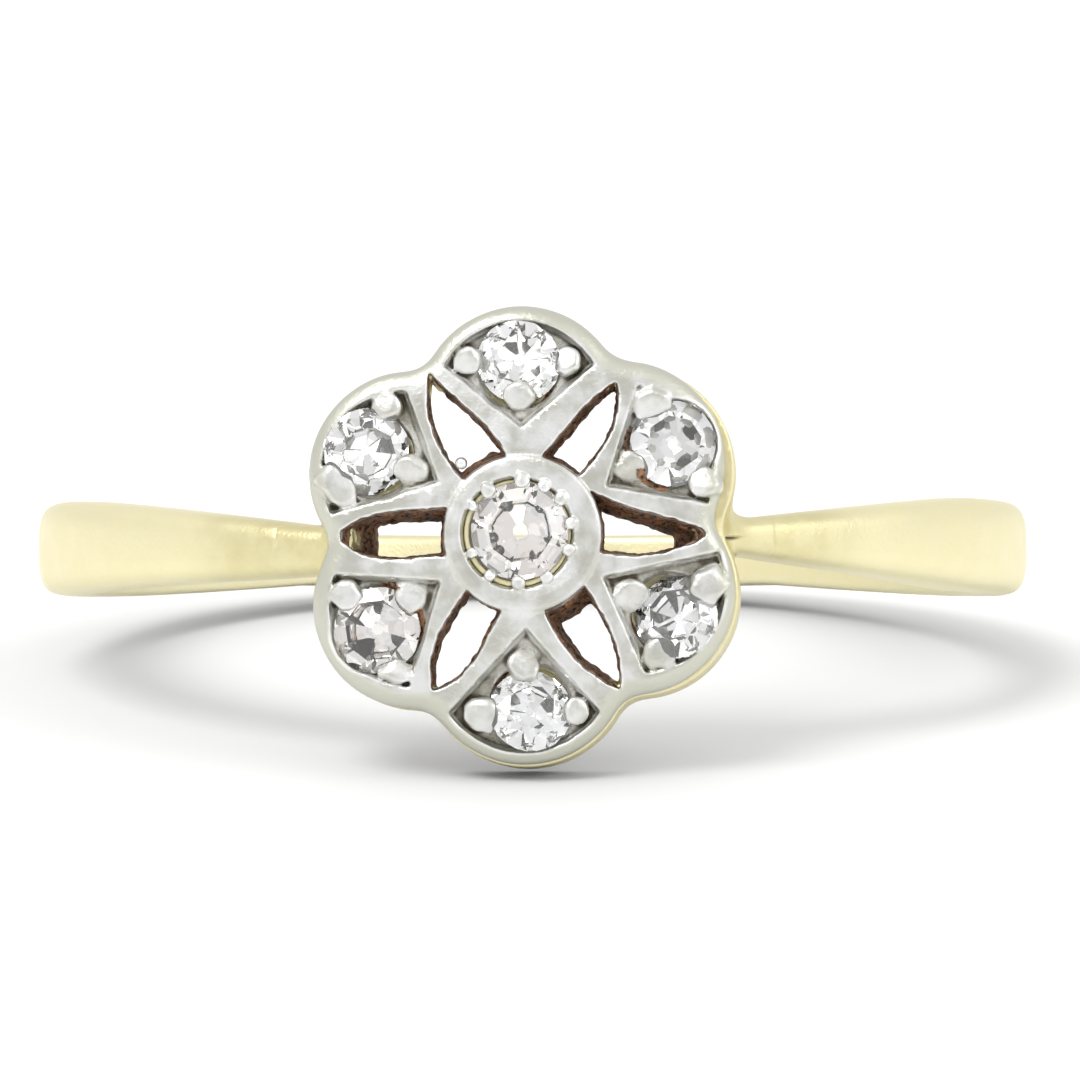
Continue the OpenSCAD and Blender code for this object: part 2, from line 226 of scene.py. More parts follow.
# A leaf-shaped piercing: its tip, outwards along the axis and to its left; its half widths left and
# right of the axis, at the centre ring and one and two thirds of the way to the tip; and, at full
# depth, how much it has lost on its left, on its right, at its tip and at its inner end.
Leaf = namedtuple("Leaf", "axis tip tip_side left right left_loss right_loss tip_loss inner_loss")
LEAVES = [
    Leaf(0, 3.63, 0.04, (0.74, 0.49, 0.30), (0.35, 0.41, 0.29), 0.20, 0.06, 0.58, 0.02),
    Leaf(60, 3.44, -0.08, (0.43, 0.31, 0.18), (0.37, 0.49, 0.43), 0.08, 0.05, 0.05, 0.08),
    Leaf(120, 3.55, 0.00, (0.46, 0.55, 0.42), (0.47, 0.42, 0.21), 0.03, 0.06, 0.03, 0.15),
    Leaf(180, 3.60, 0.00, (0.42, 0.46, 0.43), (0.51, 0.48, 0.37), 0.05, 0.16, 0.60, 0.06),
    Leaf(240, 3.43, 0.00, (0.39, 0.40, 0.37), (0.40, 0.44, 0.37), 0.06, 0.06, 0.08, 0.0),
    Leaf(300, 3.50, 0.11, (0.53, 0.55, 0.45), (0.37, 0.40, 0.25), 0.04, 0.14, 0.04, 0.22),
]

# Grains round each petal's stone: direction from the stone, distance from its middle, half length, half
# width, direction of the length, and how many flat sides wear has left.
Grain = namedtuple("Grain", "at out half_length half_width along flats")
GRAINS = {
    "top": [Grain(179, 0.97, 0.23, 0.23, 0, 1), Grain(0, 0.91, 0.22, 0.22, 0, 1),
            Grain(-88, 0.63, 0.23, 0.22, 0, 0)],
    "upper_left": [Grain(65, 0.93, 0.25, 0.24, 40, 4), Grain(-22, 0.91, 0.27, 0.25, 10, 3),
                   Grain(228, 0.87, 0.38, 0.28, 130, 1)],
    "upper_right": [Grain(117, 0.89, 0.30, 0.27, 20, 2), Grain(209, 0.91, 0.28, 0.26, 0, 1),
                    Grain(-51, 0.95, 0.27, 0.26, 0, 2)],
    "lower_left": [Grain(131, 0.89, 0.25, 0.24, 0, 0), Grain(45, 0.93, 0.30, 0.24, 90, 1),
                   Grain(-64, 0.87, 0.34, 0.19, -10, 2)],
    "lower_right": [Grain(155, 1.00, 0.28, 0.27, 0, 1), Grain(45, 0.89, 0.38, 0.27, 60, 2),
                    Grain(245, 0.76, 0.27, 0.26, 0, 0)],
    "bottom": [Grain(99, 0.87, 0.26, 0.25, 0, 0), Grain(185, 0.91, 0.28, 0.27, 0, 1),
               Grain(0, 0.85, 0.22, 0.20, 90, 1)],
}

# Small grains pushed over the edge of the centre stone: direction, distance and half width
CENTRE_GRAINS = [(8, 0.99, 0.10), (38, 1.00, 0.12), (62, 0.98, 0.11), (88, 0.96, 0.13), (128, 0.98, 0.12),
                 (152, 1.01, 0.09), (205, 1.01, 0.09), (236, 1.01, 0.10), (268, 0.99, 0.11),
                 (300, 1.01, 0.10), (338, 1.00, 0.11)]
CENTRE_GRAIN_FLATS = 2
CENTRE_GRAIN_SEED = 100

# Shape of a grain: how high it is worn flat, how far that flat and the side ones lean (the side ones in
# radians), and how lumpy it is
GRAIN_SIZE = 1.26
GRAIN_HEIGHT = 0.24
GRAIN_LIFT = 0.08
GRAIN_FLAT = 0.15
CENTRE_FLAT = 0.1
GRAIN_LEAN = 0.3
SIDE_FLAT_LEAN = (0.5, 1.1)
SIDE_FLAT_OUT = 0.78
GRAIN_LUMPS = 0.16
LUMP_SIZE = 0.2
GRAIN_FILLET = 0.05
SMALL_FILLET = 0.03

# Bead of metal left beside the upper left rib
BEAD_R = 0.12
BEAD_SUNK = 0.1
BEAD_SPOT = (-1.165, 1.345)

# How each stone is cut: the table's share of the width; slopes of the crown's main, half and star facets
# and of the lower main and half facets, 0 where it has none; what the culet takes off the point, as a
# share of the radius; the turn about its axis; and its material.
Cut = namedtuple("Cut", "name table mains halves stars pavilion lower_halves culet turn tint")
CUTS = [
    Cut("top", 0.54, 34, 40, 22, 40.5, 42.5, 0.09, 5, "white_stone"),
    Cut("upper_left", 0.50, 35, 41, 0, 41, 0, 0.05, 14, "white_stone"),
    Cut("upper_right", 0.52, 34, 0, 0, 41, 0, 0.06, 4, "white_stone"),
    Cut("lower_left", 0.60, 32, 37, 0, 39, 0, 0.12, 22, "champagne_stone"),
    Cut("lower_right", 0.50, 34, 40, 0, 41, 0, 0.05, 9, "white_stone"),
    Cut("bottom", 0.52, 34, 40, 21, 40.5, 43, 0.06, 2, "white_stone"),
    Cut("centre", 0.56, 32, 37, 0, 39, 0, 0.14, 10, "champagne_stone"),
]

# Shares of a stone's radius: half the girdle's height, the depth to its point, and where its edge runs.
# The crown stops at a share of the height that its main facets would give it.
GIRDLE = 0.03
STONE_DEPTH = 0.86
CROWN_SHARE = 0.86
GIRDLE_SIDES = 24
GIRDLE_OUT = (0.97, 0.995)
# Unevenness of old hand-cut facets, in degrees
TURN_ERROR = 1.2
SLOPE_ERROR = 0.5

# Camera: a long lens near the head's own axis, and the place that lies in the middle of the picture
SENSOR_MM = 36
CAMERA_DISTANCE = 250
CAMERA_RIGHT = 1.1
CAMERA_DOWN = 1.65
IMAGE_MM = 1080 / 52.8
AIM = (0.331, -0.114)

# Studio, with metres for the floor and lamps: the surround is darker in a soft spot round the camera
FLOOR_HALF = 4.0
SURROUND = 0.95
SPOT_EDGE = 34
SPOT_CORE = 9
SPOT_SHADE = 0.8
LAMP_TARGET = Vector((0, 0, 0.004))


def smooth_min(a, b, k):
    """The smaller of two fields, blended where they are within k of each other."""
    h = np.clip(0.5 + 0.5 * (b - a) / k, 0, 1)
    return b + (a - b) * h - k * h * (1 - h)


def smooth_max(a, b, k):
    """The larger of two fields, blended where they are within k of each other."""
    return -smooth_min(-a, -b, k)


def ease(low, high, value):
    """0 at low, 1 at high and a smooth change between them."""
    t = np.clip((value - low) / (high - low), 0, 1)
    return t * t * (3 - 2 * t)


def turned(x, y, angle):
    """x and y measured along a direction and to its left."""
    c, s = math.cos(math.radians(angle)), math.sin(math.radians(angle))
    return x * c + y * s, y * c - x * s


def polar(angle, distance):
    """The point at a distance in a direction."""
    return distance * math.cos(math.radians(angle)), distance * math.sin(math.radians(angle))


class Grid:
    """A box of evenly spaced points, for fields of signed distance that are negative in the metal."""

    def __init__(self, low, high):
        self.low = np.array(low, dtype=np.float32)
        self.counts = [int((b - a) / VOXEL) + 1 for a, b in zip(low, high)]
        self.x, self.y, self.z = np.meshgrid(
            *[(a + VOXEL * np.arange(n)).astype(np.float32) for a, n in zip(low, self.counts)],
            indexing="ij", sparse=True)

    def noise(self, size, seed):
        """Smooth random values from -1 to 1, with one free value to each size millimetres."""
        random = np.random.default_rng(seed)
        values = random.uniform(-1, 1, [int(n * VOXEL / size) + 3 for n in self.counts])
        for axis, n in enumerate(self.counts):
            at = np.arange(n) * VOXEL / size
            cell = at.astype(int)
            share = ease(0, 1, at - cell).reshape([-1 if i == axis else 1 for i in range(3)])
            values = (np.take(values, cell, axis) * (1 - share)
                      + np.take(values, cell + 1, axis) * share)
        return values.astype(np.float32)

    def sample(self, field, points):
        """A field's values at points between the grid's own."""
        at = (points - self.low) / VOXEL
        at = np.clip(at, 0, np.array(self.counts) - 1.001)
        cell = at.astype(int)
        share = at - cell
        total = np.zeros(len(points), dtype=np.float32)
        for corner in np.ndindex(2, 2, 2):
            weight = np.prod(np.where(corner, share, 1 - share), axis=1)
            total += weight * field[tuple((cell + corner).T)]
        return total

    def blurred(self, field, reach):
        """A field averaged over a box that reaches this far each way."""
        n = max(1, round(reach / VOXEL))
        for axis in range(3):
            pad = [(n + 1, n) if i == axis else (0, 0) for i in range(3)]
            sums = np.cumsum(np.pad(field, pad, mode="edge"), axis=axis, dtype=np.float64)
            length = sums.shape[axis]
            upper = np.take(sums, range(2 * n + 1, length), axis)
            lower = np.take(sums, range(0, length - 2 * n - 1), axis)
            field = ((upper - lower) / (2 * n + 1)).astype(np.float32)
        return field


def outline(x, y, lobes):
    """Six lobes, round a disc that fills the middle."""
    d = np.hypot(x, y) - (HEAD_R - LOBE_R)
    for direction, reach in lobes:
        cx, cy = polar(direction, reach - LOBE_R)
        d = smooth_min(d, np.hypot(x - cx, y - cy) - LOBE_R, VALLEY_BLEND)
    return d


def side_of(u, v, a, b):
    """Distance to the left of the line from a to b."""
    along = Vector((b[0] - a[0], b[1] - a[1])).normalized()
    return (v - a[1]) * along.x - (u - a[0]) * along.y


def circle_through(a, b, c):
    """Centre and radius of the circle through three points."""
    rows = np.array([[b[0] - a[0], b[1] - a[1]], [c[0] - a[0], c[1] - a[1]]])
    halves = np.array([rows[0] @ rows[0], rows[1] @ rows[1]]) / 2
    centre = np.linalg.solve(rows, halves)
    return centre + a, np.hypot(*centre)


def cell_plan(x, y, petal):
    """A petal's sunk cell in plan: two straight sides from its inner tip, and an arc."""
    u, v = turned(x, y, petal.axis)
    tip = (petal.tip, petal.tip_side)
    left = (petal.left, petal.left_side)
    right = (petal.right, petal.right_side)
    centre, radius = circle_through(left, (petal.outer, 0), right)
    sides = smooth_max(side_of(u, v, tip, left), -side_of(u, v, tip, right), SMOOTH)
    return smooth_max(sides, np.hypot(u - centre[0], v - centre[1]) - radius, SMOOTH)


def through(values, places, at):
    """The smooth curve through values at places."""
    total = 0
    for i, value in enumerate(values):
        others = [place for j, place in enumerate(places) if j != i]
        total = total + value * math.prod((at - place) / (places[i] - place) for place in others)
    return total


def leaf_field(x, y, depth, leaf):
    """A leaf-shaped piercing at a share of the full depth, negative where it is open."""
    u, v = turned(x, y, leaf.axis)
    places = [RING_R + (leaf.tip - RING_R) * i / 3 for i in range(4)]
    along = np.clip(u, places[0] - PAST_ENDS, places[3] + PAST_ENDS)
    left = v - through((*leaf.left, leaf.tip_side), places, along) + leaf.left_loss * depth
    right = -v - through((*leaf.right, -leaf.tip_side), places, along) + leaf.right_loss * depth
    d = smooth_max(left, right, SMOOTH) * LEAF_SCALE
    ends = np.maximum(u - leaf.tip + leaf.tip_loss * depth,
                      RING_R + RING_MARGIN + leaf.inner_loss * depth - np.hypot(x, y))
    return smooth_max(d, np.maximum(ends, RING_R / 2 - u), SMOOTH)


def leaves_field(grid, rough, fine):
    """All the piercings, with rough walls below their edges."""
    depth = np.clip((plate_top - grid.z) / PIERCED_DEPTH, 0, 1.3)
    openings = leaf_field(grid.x, grid.y, depth, LEAVES[0])
    for leaf in LEAVES[1:]:
        openings = np.minimum(openings, leaf_field(grid.x, grid.y, depth, leaf))
    return openings + (EDGE_ROUGH + WALL_ROUGHER * ease(*ROUGHER_FROM, depth)) * rough + FINE_ROUGH * fine


Seat = namedtuple("Seat", "name place radius")


def seat_of(node):
    """Where a CAD stone sits: a matrix whose Z is the stone's axis at its girdle, and its radius."""
    points = head_points(node)
    polygons = frame["nodes"][node].data.polygons
    inward = HEAD.inverted()
    table = max(polygons, key=lambda p: (inward @ p.center).z)
    axis = (inward.to_3x3() @ table.normal).normalized()
    along = points @ np.array(axis)
    across = points - np.outer(along, axis)
    middle = (across.min(axis=0) + across.max(axis=0)) / 2
    radius = np.linalg.norm(across - middle, axis=1).max()
    girdle = along[np.linalg.norm(across - middle, axis=1) > 0.97 * radius].mean()
    place = axis.to_track_quat("Z", "Y").to_matrix().to_4x4()
    place.translation = Vector(middle + girdle * np.array(axis))
    return Seat(node, place, radius)


seats = {name: seat_of("stone_" + name) for name in PETALS}
centre_seat = seat_of("centre_stone")
centre_seat.place.translation += CENTRE_SHIFT
all_seats = [*seats.values(), centre_seat]


def seat_frame(grid, seat):
    """Distance from a stone's axis, and height above its girdle."""
    inward = np.array(seat.place.inverted())
    a, b, c = (inward[i, 0] * grid.x + inward[i, 1] * grid.y + inward[i, 2] * grid.z + inward[i, 3]
               for i in range(3))
    return np.hypot(a, b), c


def inward_share(grid, seat):
    """How much a point beside a petal's stone lies towards the middle of the head, from 0 to 1."""
    base = seat.place.translation
    if base.xy.length < seat.radius:
        return np.float32(0)
    x, y = grid.x - base.x, grid.y - base.y
    toward = -(x * base.x + y * base.y) / base.xy.length
    return ease(*INWARD_RISE, toward / np.maximum(np.hypot(x, y), VOXEL))


def seat_closeness(grid):
    """1 inside the seats and 0 away from them, for the bright metal that a setter leaves there."""
    close = 0
    for seat in all_seats:
        r, _ = seat_frame(grid, seat)
        near = ease(seat.radius + SEAT_REACH, seat.radius, r) * (1 - inward_share(grid, seat))
        close = np.maximum(close, near)
    return close


def cut_seats(grid, d):
    """Sinks a seat for each stone, wider towards the middle, with a hole drilled through behind it."""
    for seat in all_seats:
        r, height = seat_frame(grid, seat)
        wall = r - seat.radius - SEAT_GAP - CRESCENT_W * inward_share(grid, seat)
        cone = (wall - (height + 2 * SEAT_GAP) / PAVILION_SLOPE) * CONE_SCALE
        seat_space = np.maximum(wall, cone)
        seat_space = smooth_min(seat_space, r - BACK_HOLE_SHARE * seat.radius, SMOOTH)
        d = smooth_max(d, -seat_space, SMOOTH / 2)
    return d


def grain_field(grid, seat, grain, seed, flat):
    """One grain: a worn lump, flattened on top and on some of its sides."""
    cx, cy = polar(grain.at, grain.out)
    half_length, half_width = grain.half_length * GRAIN_SIZE, grain.half_width * GRAIN_SIZE
    base = seat.place.translation
    u, v = turned(grid.x - base.x - cx, grid.y - base.y - cy, grain.along)
    w = grid.z - base.z - GRAIN_LIFT
    d = np.sqrt((u / half_length) ** 2 + (v / half_width) ** 2 + (w / GRAIN_HEIGHT) ** 2) - 1
    d = d * half_width + GRAIN_LUMPS * half_width * grid.noise(LUMP_SIZE, seed)
    random = np.random.default_rng(seed)
    for _ in range(grain.flats):
        turn, lean = random.uniform(0, 2 * math.pi), random.uniform(*SIDE_FLAT_LEAN)
        plane = (u * math.cos(turn) + v * math.sin(turn)) * math.sin(lean) + w * math.cos(lean)
        d = smooth_max(d, plane - SIDE_FLAT_OUT * half_width, SMOOTH / 2)
    lean_u, lean_v = random.uniform(-GRAIN_LEAN, GRAIN_LEAN, 2)
    return smooth_max(d, w - flat + lean_u * u + lean_v * v, 2 * SMOOTH)


def add_grains(grid, d):
    """Adds the grains round every stone, and the bead."""
    for i, (name, grains) in enumerate(GRAINS.items()):
        for j, grain in enumerate(grains):
            lump = grain_field(grid, seats[name], grain, 10 * i + j, GRAIN_FLAT)
            d = smooth_min(d, lump, GRAIN_FILLET)
    for i, (at, out, half) in enumerate(CENTRE_GRAINS):
        grain = Grain(at, out, half, half, at, CENTRE_GRAIN_FLATS)
        lump = grain_field(grid, centre_seat, grain, CENTRE_GRAIN_SEED + i, CENTRE_FLAT)
        d = smooth_min(d, lump, SMALL_FILLET)
    bead = np.sqrt((grid.x - BEAD_SPOT[0]) ** 2 + (grid.y - BEAD_SPOT[1]) ** 2
                   + (grid.z - plate_top + BEAD_SUNK) ** 2) - BEAD_R
    return smooth_min(d, bead, SMALL_FILLET)


def add_centre_ring(grid, d, wave):
    """Raises the ring round the centre stone and opens its hole."""
    x, y, z = grid.x, grid.y, grid.z
    r = np.hypot(x, y)
    top = z - plate_top - RING_RAISE + RING_SLOPE * np.abs(r - RING_CREST_R)
    ring = smooth_max(r - RING_R, top, RING_BLEND)
    d = smooth_min(d, ring + RING_UNEVEN * wave, RING_BLEND)
    hole = np.hypot(x - HOLE_SHIFT[0], y - HOLE_SHIFT[1]) - RING_HOLE_R
    return smooth_max(d, -hole + HOLE_FLARE * np.clip(z - plate_top, -0.3, 0.1), SMOOTH)


def surface_height(x, y, rim):
    """Height of the plate's domed and bevelled upper surface."""
    dome = plate_top - DOME_DROP * (x * x + y * y) / HEAD_R ** 2
    bevel = np.clip(1 + rim / RIM_BEVEL_W, 0, 1.3)
    return dome - RIM_BEVEL_H * bevel * bevel


def face_masks(grid, rim, below, openings, cells):
    """Where the plate shows the walls of its piercings, the floors of its cells, its rim and its seats."""
    inside = ease(*INSIDE_RISE, -rim)
    pierced = ease(*WALL_DEPTH_RISE, below) * ease(*WALL_RISE, -openings) * inside
    floor = ease(*FLOOR_DEPTH_RISE, below) * ease(*FLOOR_RISE, -cells) * inside
    # Beside each petal's stone, on the side towards the middle of the head, the seat wall takes the
    # piercings' brown: a painted dark line of shade in the gap.
    for seat in seats.values():
        r, height = seat_frame(grid, seat)
        beside = ease(*CRESCENT_RISE, r - seat.radius) * ease(*CRESCENT_HEIGHT_RISE, height)
        pierced = np.maximum(pierced, inward_share(grid, seat) * beside)
    # The rim mask carries painted shade onto the sloping bevel round the plate.
    return {"pierced": pierced, "floor": floor, "rim": ease(*RIM_RISE, rim),
            "seat": seat_closeness(grid) * ease(*SEAT_DEPTH_RISE, below)}


def face_fields(grid):
    """The flower plate: its distance field, and the masks that its material reads."""
    x, y, z = grid.x, grid.y, grid.z
    wave = grid.noise(*PLATE_WAVE)
    rough = grid.noise(*WALL_ROUGH)
    rim = outline(x, y, PLATE_LOBES) + RIM_UNEVEN * wave
    below = surface_height(x, y, rim) + TOP_UNEVEN * wave - z
    d = smooth_max(rim, -below, RIM_ROUND)

    cells = np.minimum.reduce([cell_plan(x, y, petal) for petal in PETALS.values()]) + CELL_TIGHTER
    over_floor = CELL_DEPTH - below + CELL_UNEVEN * rough
    sunk = smooth_max(cells - CELL_DRAFT * over_floor, -over_floor, SMOOTH)
    d = smooth_max(d, -sunk, SMOOTH)

    openings = leaves_field(grid, rough, grid.noise(*WALL_FINE))
    d = smooth_max(d, -openings, SMOOTH)
    d = add_centre_ring(grid, d, wave)
    d = cut_seats(grid, d)
    d = add_grains(grid, d)
    d = np.maximum(d, plate_low - z)
    return d, face_masks(grid, rim, below, openings, cells)


def hoop_width(x):
    """Width of the hoop's front at a place to the right of its middle, or to the left of it."""
    right = SHOULDER_W_RIGHT + TAPER_RIGHT * (x - SHOULDER_OUT)
    left = SHOULDER_W_LEFT + TAPER_LEFT * (-x - SHOULDER_OUT)
    return np.clip(np.where(x > 0, right, left), LEAST_W, HOOP_W)


def back_width(across):
    """Width of the hoop's back at a distance from its middle."""
    return np.clip(BACK_W + BACK_TAPER * (across - BACK_OUT), BACK_W, HOOP_W)


def shoulder_lift(x):
    """How far the middle of the hoop runs above its plane, which only the left shoulder leaves."""
    lift = np.where(x > 0, 0, SHOULDER_LIFT_LEFT)
    return lift * np.clip((LIFT_ENDS - np.abs(x)) / (LIFT_ENDS - SHOULDER_OUT), 0, 1)


def stub_field(grid, from_axis):
    """The two ends of the hoop, with places along it measured on its outer surface."""
    along = hoop_r * grid.x / np.maximum(from_axis, bore_r / 2)
    across = np.abs(along)
    out = 2 * (from_axis - bore_r) / HOOP_THICK - 1
    side = 2 * np.abs(grid.y - shoulder_lift(along)) / hoop_width(along)
    power = np.where(out > 0, OUTER_POWER, INNER_POWER)
    stub = ((np.abs(out) ** power + side ** power) ** (1 / power) - 1) * SHOULDER_W_RIGHT / 2
    stub = stub + SEAM_SINK * ease(*STUB_SINKS, across)
    return np.maximum(stub, np.maximum(SHOULDER_END - across, across - STUB_END))


def gallery_fields(grid):
    """The gold gallery and collet, with the ends of the hoop soldered to it, and their masks."""
    x, y, z = grid.x, grid.y, grid.z
    down = np.clip((gallery_top - z) / GALLERY_H, 0, 1.2)
    rim = outline(x - LEAN_RIGHT * down, y + LEAN_DOWN * down, GALLERY_LOBES)
    rim = rim + GALLERY_UNEVEN * grid.noise(*GALLERY_WAVE)
    from_axis = np.hypot(x, z)
    d = smooth_max(rim, z - gallery_top, GALLERY_ROUND)
    d = smooth_max(d, gallery_low - from_axis, SMOOTH)
    d = smooth_max(d, gallery_low - GALLERY_SKIRT - z, SMOOTH)
    solder = np.where((x > 0) & (y > 0), SOLDER_UPPER_RIGHT, SOLDER)
    d = smooth_min(d, stub_field(grid, from_axis), solder)
    d = np.maximum(d, z - gallery_top)

    openings = leaves_field(grid, grid.noise(*WALL_ROUGH), grid.noise(*WALL_FINE))
    d = smooth_max(d, -openings, SMOOTH)

    r = np.hypot(x - HOLE_SHIFT[0], y - HOLE_SHIFT[1])
    collet = np.maximum(np.abs(r - COLLET_R + COLLET_WALL / 2) - COLLET_WALL / 2,
                        z - plate_top - RING_RAISE + COLLET_DROP)
    d = smooth_min(d, np.maximum(collet, gallery_top - COLLET_ROOT - z), SMALL_FILLET)
    d = cut_seats(grid, d)

    pierced = ease(*WALL_RISE, -openings) * ease(*GALLERY_INSIDE_RISE, -rim)
    high = z - gallery_top
    inner = ease(*GALLERY_SEAT_TOP_RISE, high) * ease(*GALLERY_SEAT_FOOT_RISE, high)
    return d, {"pierced": pierced, "seat": seat_closeness(grid) * inner}


def world_points(points):
    """Points from the head's frame, in metres where the ring rests."""
    place = np.array(HEAD)
    return (points * MM) @ place[:3, :3].T + place[:3, 3]


def mesh_of_field(name, grid, d, masks):
    """A mesh of the surface where a field is zero, shaded by the field's own slope."""
    volume = openvdb.FloatGrid(1.0)
    volume.copyFromArray(np.ascontiguousarray(d, dtype=np.float32))
    points, triangles, quads = volume.convertToPolygons(isovalue=0.0, adaptivity=ADAPTIVITY)
    points = points.astype(np.float64) * VOXEL + grid.low
    faces = [tuple(map(int, f)) for f in quads] + [tuple(map(int, f)) for f in triangles]
    normals = np.stack([grid.sample(d, points + step) - grid.sample(d, points - step)
                        for step in SLOPE_STEP * np.eye(3)], axis=1)
    normals /= np.maximum(np.linalg.norm(normals, axis=1, keepdims=True), 1e-9)
    normals = normals @ np.array(HEAD)[:3, :3].T

    mesh = bpy.data.meshes.new(name)
    mesh.from_pydata(world_points(points).tolist(), [], faces)
    mesh.polygons.foreach_set("use_smooth", [True] * len(mesh.polygons))
    filled = grid.blurred(np.clip(0.5 - d / VOXEL, 0, 1), CAVITY_REACH)
    for key, values in {**masks, "cavity": filled}.items():
        layer = mesh.attributes.new(key, "FLOAT", "POINT")
        layer.data.foreach_set("value", grid.sample(values, points))
    mesh.update()
    mesh.normals_split_custom_set_from_vertices(normals.tolist())
    return mesh


def finished_mesh(name, bm):
    """The mesh that was built up in bm, with its faces turned outwards."""
    bmesh.ops.recalc_face_normals(bm, faces=bm.faces)
    mesh = bpy.data.meshes.new(name)
    bm.to_mesh(mesh)
    bm.free()
    return mesh


def hoop_mesh():
    """The hoop, swept round from one shoulder to the other, with a rounded and slightly worn section."""
    start = math.asin(HOOP_START / hoop_r)
    bm = bmesh.new()
    random = np.random.default_rng(HOOP_SEED)
    waves = random.uniform(-1, 1, (3, 4))
    rings = []
    cavity = []
    for i in range(HOOP_STEPS + 1):
        angle = start + (2 * math.pi - 2 * start) * i / HOOP_STEPS
        x = hoop_r * math.sin(angle)
        wider, thicker, wander = [
            sum(w * math.sin((k + 2) * angle + 5 * w) for k, w in enumerate(row)) / 4 for row in waves]
        width, lift, sink, duller = back_width(abs(x)), 0.0, 0.0, 0.0
        if math.cos(angle) > 0:
            width = hoop_width(x)
            lift = float(shoulder_lift(x))
            sink = SEAM_SINK * float(ease(*HOOP_SINKS, abs(x)))
            duller = SHOULDER_CAVITY * float(ease(*SHOULDER_RISE, abs(x)))
        cavity += [WORN_CAVITY + duller] * HOOP_SIDES
        half = float(width) / 2 * (1 + HOOP_WORN * wider) - sink
        ring = []
        for j in range(HOOP_SIDES):
            turn = 2 * math.pi * j / HOOP_SIDES
            c, s = math.cos(turn), math.sin(turn)
            power = 2 / (OUTER_POWER if c > 0 else INNER_POWER)
            out = HOOP_THICK / 2 * (1 + math.copysign(abs(c) ** power, c))
            out = out * (1 + HOOP_WORN * thicker) - sink * c
            side = half * math.copysign(abs(s) ** power, s)
            r = bore_r + max(out, 0)
            spot = Vector((r * math.sin(angle), side + lift + HOOP_WANDER * wander, r * math.cos(angle)))
            ring.append(bm.verts.new(HEAD @ (spot * MM)))
        rings.append(ring)
    for a, b in zip(rings, rings[1:]):
        for j in range(HOOP_SIDES):
            k = (j + 1) % HOOP_SIDES
            bm.faces.new((a[j], b[j], b[k], a[k]))
    bm.faces.new(rings[0])
    bm.faces.new(rings[-1][::-1])
    mesh = finished_mesh("hoop", bm)
    mesh.attributes.new("cavity", "FLOAT", "POINT").data.foreach_set("value", cavity)
    mesh.polygons.foreach_set("use_smooth", [True] * len(mesh.polygons))
    return mesh


def stone_mesh(seat, cut, seed):
    """A cut stone: the solid between the planes of all its facets."""
    random = np.random.default_rng(seed)
    planes = []

    def facet(azimuth, slope, reach, height, side):
        """A facet above the girdle (side 1) or below it (-1), through a distance and a height."""
        a = math.radians(azimuth + cut.turn + random.uniform(-TURN_ERROR, TURN_ERROR))
        s = math.radians(slope + random.uniform(-SLOPE_ERROR, SLOPE_ERROR))
        normal = np.array([math.sin(s) * math.cos(a), math.sin(s) * math.sin(a), side * math.cos(s)])
        planes.append((normal, math.sin(s) * reach + math.cos(s) * height))

    crown = GIRDLE + (1 - cut.table) * math.tan(math.radians(cut.mains)) * CROWN_SHARE
    planes.append((np.array([0, 0, 1.0]), crown))
    planes.append((np.array([0, 0, -1.0]), STONE_DEPTH - cut.culet))
    for i in range(8):
        at = 45 * i
        facet(at, cut.mains, 1, GIRDLE, 1)
        facet(at, cut.pavilion, 1, GIRDLE, -1)
        if cut.stars:
            facet(at + 22.5, cut.stars, cut.table, crown, 1)
        for offset in (-11.25, 11.25):
            if cut.halves:
                facet(at + offset, cut.halves, 1, GIRDLE, 1)
            if cut.lower_halves:
                facet(at + offset, cut.lower_halves, 1, GIRDLE, -1)
    for i in range(GIRDLE_SIDES):
        a = 2 * math.pi * i / GIRDLE_SIDES
        planes.append((np.array([math.cos(a), math.sin(a), 0]), random.uniform(*GIRDLE_OUT)))

    # Every three planes meet in a point, and the stone's corners are those that no plane cuts off
    normals = np.array([p[0] for p in planes])
    offsets = np.array([p[1] for p in planes])
    i, j, k = (index.ravel() for index in np.meshgrid(*[range(len(planes))] * 3, indexing="ij"))
    keep = (i < j) & (j < k)
    sets = np.stack([i[keep], j[keep], k[keep]], axis=1)
    triples = normals[sets]
    good = np.abs(np.linalg.det(triples)) > 1e-6
    corners = np.linalg.solve(triples[good], offsets[sets[good]][..., None])[..., 0]
    corners = corners[(corners @ normals.T <= offsets + 1e-6).all(axis=1)]
    corners = np.unique(corners.round(4), axis=0) * seat.radius

    bm = bmesh.new()
    for corner in corners:
        bm.verts.new(HEAD @ ((seat.place @ Vector(corner)) * MM))
    bmesh.ops.convex_hull(bm, input=bm.verts)
    return finished_mesh(seat.name, bm)


def add_object(name, data):
    """Puts an object with this data in the scene."""
    thing = bpy.data.objects.new(name, data)
    bpy.context.scene.collection.objects.link(thing)
    return thing


def join(name, meshes):
    """One mesh made of several, with their attributes and shading kept."""
    parts = [add_object(name, mesh) for mesh in meshes]
    with bpy.context.temp_override(active_object=parts[0], selected_editable_objects=parts):
        bpy.ops.object.join()
    mesh = parts[0].data
    bpy.data.objects.remove(parts[0])
    return mesh


def add_piece(name, mesh, material, slot, *nodes):
    """Puts a mesh in the scene as a piece that stands for CAD nodes."""
    piece = add_object(name, mesh)
    mesh.materials.append(material)
    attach(piece, "root")
    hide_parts(*nodes)


